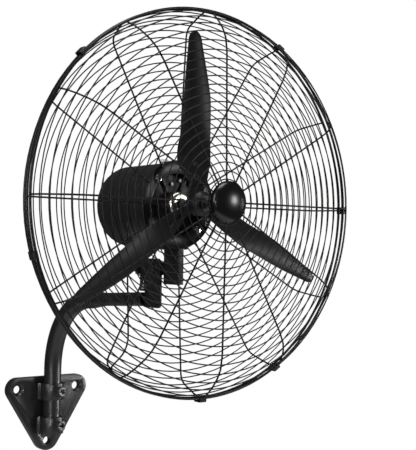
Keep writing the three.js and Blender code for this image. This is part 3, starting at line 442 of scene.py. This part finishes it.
def make_clip(index, degrees):
    """A sprung strip that is rolled over both rim rings."""
    half = RIM_DEPTH + RIM_WIRE + CLIP_CLEARANCE
    top = GUARD_RADIUS + RIM_WIRE + CLIP_HEIGHT
    lip = GUARD_RADIUS - CLIP_CORNER
    strip = [(lip, -half), (top - CLIP_CORNER, -half), (top, -half + CLIP_CORNER),
             (top, half - CLIP_CORNER), (top - CLIP_CORNER, half), (lip, half)]
    shape = bmesh.new()
    rows = []
    for radius, depth in strip:
        row = []
        for across in (-CLIP_HALF_WIDTH, CLIP_HALF_WIDTH):
            middle = on_circle(radius, degrees, RIM_Y + depth)
            sideways = (on_circle(1, degrees + 90, 0) - on_circle(0, 0, 0)) * across
            row.append(shape.verts.new(middle + sideways))
        rows.append(row)
    for first, second in zip(rows, rows[1:]):
        shape.faces.new((first[0], first[1], second[1], second[0]))
    bmesh.ops.recalc_face_normals(shape, faces=shape.faces)
    mesh = bpy.data.meshes.new(f"clip_{index}")
    shape.to_mesh(mesh)
    shape.free()
    piece = finish_piece(f"spring_clip_{index}", mesh, "matte_black", "head", [f"guard_clip_{index}"])
    solid = piece.modifiers.new("thickness", "SOLIDIFY")
    solid.thickness = CLIP_THICKNESS
    solid.offset = -1
    add_bevel(piece, 0.35 * MM)


def make_cap():
    radius, rim, height = 37 * MM, 3.5 * MM, 17 * MM
    back = RIM_Y - FRONT_DEPTH - 2.7 * MM
    outline = [(0, back), (radius - 0.8 * MM, back), (radius, back - 0.8 * MM),
               (radius, back - rim + 0.4 * MM)]
    for step in range(1, 19):
        turn = math.radians(5 * step)
        outline.append((radius * math.cos(turn), back - rim - height * math.sin(turn)))
    finish_piece("cap_dome", turned_mesh("cap_dome", outline, 96), "black_paint", "head", ["centre_cap"],
                 GLOSS_BLACK)


def make_guard():
    guard_half("front_guard_wires", "front_guard", -1, FRONT_INNER_RADIUS, FRONT_DEPTH, FRONT_SHOULDER,
               FRONT_FIRST_RING)
    guard_half("rear_guard_wires", "rear_guard", 1, REAR_INNER_RADIUS, REAR_DEPTH, REAR_SHOULDER,
               REAR_FIRST_RING)
    for index, degrees in enumerate(CLIP_ANGLES, start=1):
        make_clip(index, degrees)
    make_cap()


# ---------------------------------------------------------------- rotor


def smoothstep(value, low, high):
    share = min(max((value - low) / (high - low), 0), 1)
    return share * share * (3 - 2 * share)


def blade_edge(side, radius):
    """How far one edge stands from the blade's radial line; the tip is round."""
    last = BLADE_EDGES[-1]
    if radius >= last["radius"]:
        share = (radius - last["radius"]) / (BLADE_TIP - last["radius"])
        return last[side] * math.sqrt(max(1 - share * share, 0.01))
    for near, far in zip(BLADE_EDGES, BLADE_EDGES[1:]):
        if radius <= far["radius"]:
            share = (radius - near["radius"]) / (far["radius"] - near["radius"])
            return near[side] + (far[side] - near[side]) * share
    return last[side]


def blade_pitch(radius):
    share = min(max((radius - BLADE_FLAT) / (BLADE_TIP - BLADE_FLAT), 0), 1)
    return BLADE_ROOT_PITCH + (BLADE_TIP_PITCH - BLADE_ROOT_PITCH) * math.sqrt(share)


def blade_section(radius, columns=10):
    """A closed loop of points round the blade at one radius, for the blade that points straight up."""
    leading = blade_edge("leading", radius)
    chord = leading + blade_edge("trailing", radius)
    pitch = blade_pitch(radius)
    camber = 0.09 * chord * smoothstep(radius, BLADE_FLAT, 150 * MM)
    rake = BLADE_RAKE * smoothstep(radius, BLADE_FLAT, 200 * MM)
    loop = []
    for surface in (-1, 1):
        for column in range(columns + 1):
            across = surface * (column / columns - 0.5)
            edge = 1 - (2 * abs(across)) ** 6
            lift = -camber * (1 - 4 * across * across) + surface * BLADE_THICKNESS / 2 * max(edge, 0.25)
            along = (across + 0.5) * chord - leading
            loop.append(Vector((-along * math.cos(pitch) + lift * math.sin(pitch),
                                along * math.sin(pitch) + lift * math.cos(pitch) - rake, radius)))
    return loop


def make_blade(index):
    root = BLADE_EDGES[0]["radius"]
    tip_start = BLADE_EDGES[-1]["radius"]
    tip_length = BLADE_TIP - tip_start
    steps = 32
    radii = [root + (tip_start - root) * i / steps for i in range(steps + 1)]
    radii += [tip_start + tip_length * math.sin(math.radians(90 * i / 10)) for i in range(1, 11)]
    degrees = BLADE_PHASE + 120 * (index - 1)
    turn = Matrix.Rotation(-math.radians(degrees - 90), 4, "Y")
    place = Matrix.Translation((0, ROTOR_Y, FAN_AXIS_Z)) @ turn
    vertices = []
    faces = []
    for radius in radii:
        vertices.extend(place @ point for point in blade_section(radius))
    loop = len(vertices) // len(radii)
    for row in range(len(radii) - 1):
        for i in range(loop):
            j = (i + 1) % loop
            faces.append((row * loop + i, row * loop + j, (row + 1) * loop + j, (row + 1) * loop + i))
    half = loop // 2
    last = (len(radii) - 1) * loop
    for i in range(half - 1):
        faces.append((i, loop - 1 - i, loop - 2 - i, i + 1))
        faces.append((last + i, last + i + 1, last + loop - 2 - i, last + loop - 1 - i))
    mesh = mesh_from(f"blade_{index}_skin", vertices, faces)
    piece = finish_piece(f"blade_{index}_skin", mesh, "matte_black", "rotor", [f"blade_{index}"])
    add_bevel(piece, 0.5 * MM, 1, math.radians(50))


# ---------------------------------------------------------------- arm


def arm_point(distance):
    """The tube's centre line, by distance from its foot."""
    upright = ARM_BEND_Z - TUBE_FOOT_Z
    bend_turn = math.pi / 2 - ARM_RISE
    if distance <= upright:
        return Vector((0, TUBE_Y, TUBE_FOOT_Z + distance))
    turn = min((distance - upright) / BEND_RADIUS, bend_turn)
    point = Vector((0, TUBE_Y - BEND_RADIUS * (1 - math.cos(turn)),
                    ARM_BEND_Z + BEND_RADIUS * math.sin(turn)))
    past = distance - upright - BEND_RADIUS * bend_turn
    if past > 0:
        point += past * Vector((0, -math.cos(ARM_RISE), math.sin(ARM_RISE)))
    return point


def make_arm_tube():
    upright = ARM_BEND_Z - TUBE_FOOT_Z
    bend_length = BEND_RADIUS * (math.pi / 2 - ARM_RISE)
    bend_end = arm_point(upright + bend_length)
    total = upright + bend_length + (bend_end.y - ARM_FRONT_Y) / math.cos(ARM_RISE)
    steps = 120
    centres = [arm_point(total * i / steps) for i in range(steps + 1)]
    outer = [TUBE_RADIUS + (TUBE_FRONT_RADIUS - TUBE_RADIUS)
             * smoothstep(-point.y, -SWAGE_START_Y, -SWAGE_END_Y) for point in centres]
    inner = [radius - TUBE_WALL for radius in outer]
    wires = Wires()
    side_axis = Vector((1, 0, 0))
    sides = 40
    wires.add(centres, 0, sides, False, side_axis, outer)
    outside_faces = [face for face in wires.faces if len(face) == 4]
    wires.faces = []
    base = len(wires.vertices)
    wires.add(centres, 0, sides, False, side_axis, inner)
    inside_faces = [tuple(reversed(face)) for face in wires.faces if len(face) == 4]
    rims = []
    for row in (0, steps):
        for side in range(sides):
            other = (side + 1) % sides
            out_a, out_b = row * sides + side, row * sides + other
            rim = (out_a, base + out_a, base + out_b, out_b)
            rims.append(rim if row == 0 else tuple(reversed(rim)))
    mesh = mesh_from("arm_tube_skin", wires.vertices, outside_faces + inside_faces + rims)
    piece = finish_piece("arm_tube_skin", mesh, "black_paint", "arm", ["arm_tube"])
    add_bevel(piece, 0.6 * MM, 2, math.radians(60))


# ---------------------------------------------------------------- carried-over CAD nodes


def dress_nodes():
    slots = {part["node"]: part["material_slot"] for part in frame["record"]["subparts"]}
    for node, piece in frame["nodes"].items():
        if piece.hide_render:
            continue
        piece.data.materials.clear()
        piece.data.materials.append(NODE_FINISH.get(node, FINISH[slots[node]]))
        for face in piece.data.polygons:
            face.use_smooth = True
        weld = piece.modifiers.new("weld", "WELD")
        weld.merge_threshold = 0.00002
        add_bevel(piece, bevel_width(node), 2)


def bevel_width(node):
    wide = {"wall_plate": 1.2, "upper_clamp": 1.2, "lower_clamp": 1.2, "tilt_plate": 0.8, "neck_bracket": 0.8,
            "front_bell": 0.8, "motor_housing": 0.8}
    return wide.get(node, 0.35) * MM


# ---------------------------------------------------------------- stage and light


def make_floor():
    bpy.ops.mesh.primitive_circle_add(vertices=96, radius=1.25, fill_type="NGON",
                                      location=(0, -0.4, -0.62))
    floor = bpy.context.object
    floor.name = "floor"
    material, shader = new_material("pale_floor", gray(0.86), 0.7)
    floor.data.materials.append(material)


def add_light(name, place, target, size, power, size_y=None, spread=180):
    data = bpy.data.lights.new(name, "AREA")
    data.energy = power
    data.shape = "RECTANGLE"
    data.size = size
    data.size_y = size_y or size
    data.spread = math.radians(spread)
    light = bpy.data.objects.new(name, data)
    light.location = place
    light.rotation_euler = (Vector(place) - Vector(target)).to_track_quat("Z", "Y").to_euler()
    bpy.context.scene.collection.objects.link(light)


def make_world():
    """White to the camera, mid grey as light, and dark in reflections so that black paint stays black."""
    world = bpy.data.worlds.new("studio")
    bpy.context.scene.world = world
    world.use_nodes = True
    tree = world.node_tree
    path = tree.nodes.new("ShaderNodeLightPath")
    lit = tree.nodes["Background"]
    lit.inputs["Color"].default_value = (0.5, 0.5, 0.5, 1)
    lit.inputs["Strength"].default_value = 0.9
    mirrored = tree.nodes.new("ShaderNodeBackground")
    mirrored.inputs["Color"].default_value = (0.07, 0.07, 0.07, 1)
    seen = tree.nodes.new("ShaderNodeBackground")
    seen.inputs["Color"].default_value = (1, 1, 1, 1)
    last = lit.outputs["Background"]
    for ray, background in (("Is Glossy Ray", mirrored), ("Is Camera Ray", seen)):
        mix = tree.nodes.new("ShaderNodeMixShader")
        tree.links.new(path.outputs[ray], mix.inputs["Fac"])
        tree.links.new(last, mix.inputs[1])
        tree.links.new(background.outputs["Background"], mix.inputs[2])
        last = mix.outputs["Shader"]
    tree.links.new(last, tree.nodes["World Output"].inputs["Surface"])


def make_studio():
    make_floor()
    make_world()
    middle = (0, -0.5, 0.4)
    add_light("front_right_box", (1.6, -2.7, 0.75), middle, 0.6, 26)
    add_light("left_box", (-2.6, -0.7, 1.3), middle, 0.9, 40, 1.6)
    arm_foot = (0, -0.1, 0.05)   # two narrow strips draw the highlights on the upright tube
    add_light("left_strip", (-2.0, -1.85, 0.15), arm_foot, 0.16, 1.3, 1.1, 30)
    add_light("right_strip", (1.9, -1.2, 0.1), arm_foot, 0.16, 1.8, 1.1, 30)
    add_light("top_box", (-0.2, -0.7, 2.7), middle, 1.4, 50)


bpy.context.scene.view_settings.view_transform = "Standard"
make_camera()
make_guard()
for blade_index in (1, 2, 3):
    make_blade(blade_index)
make_arm_tube()
dress_nodes()
make_studio()
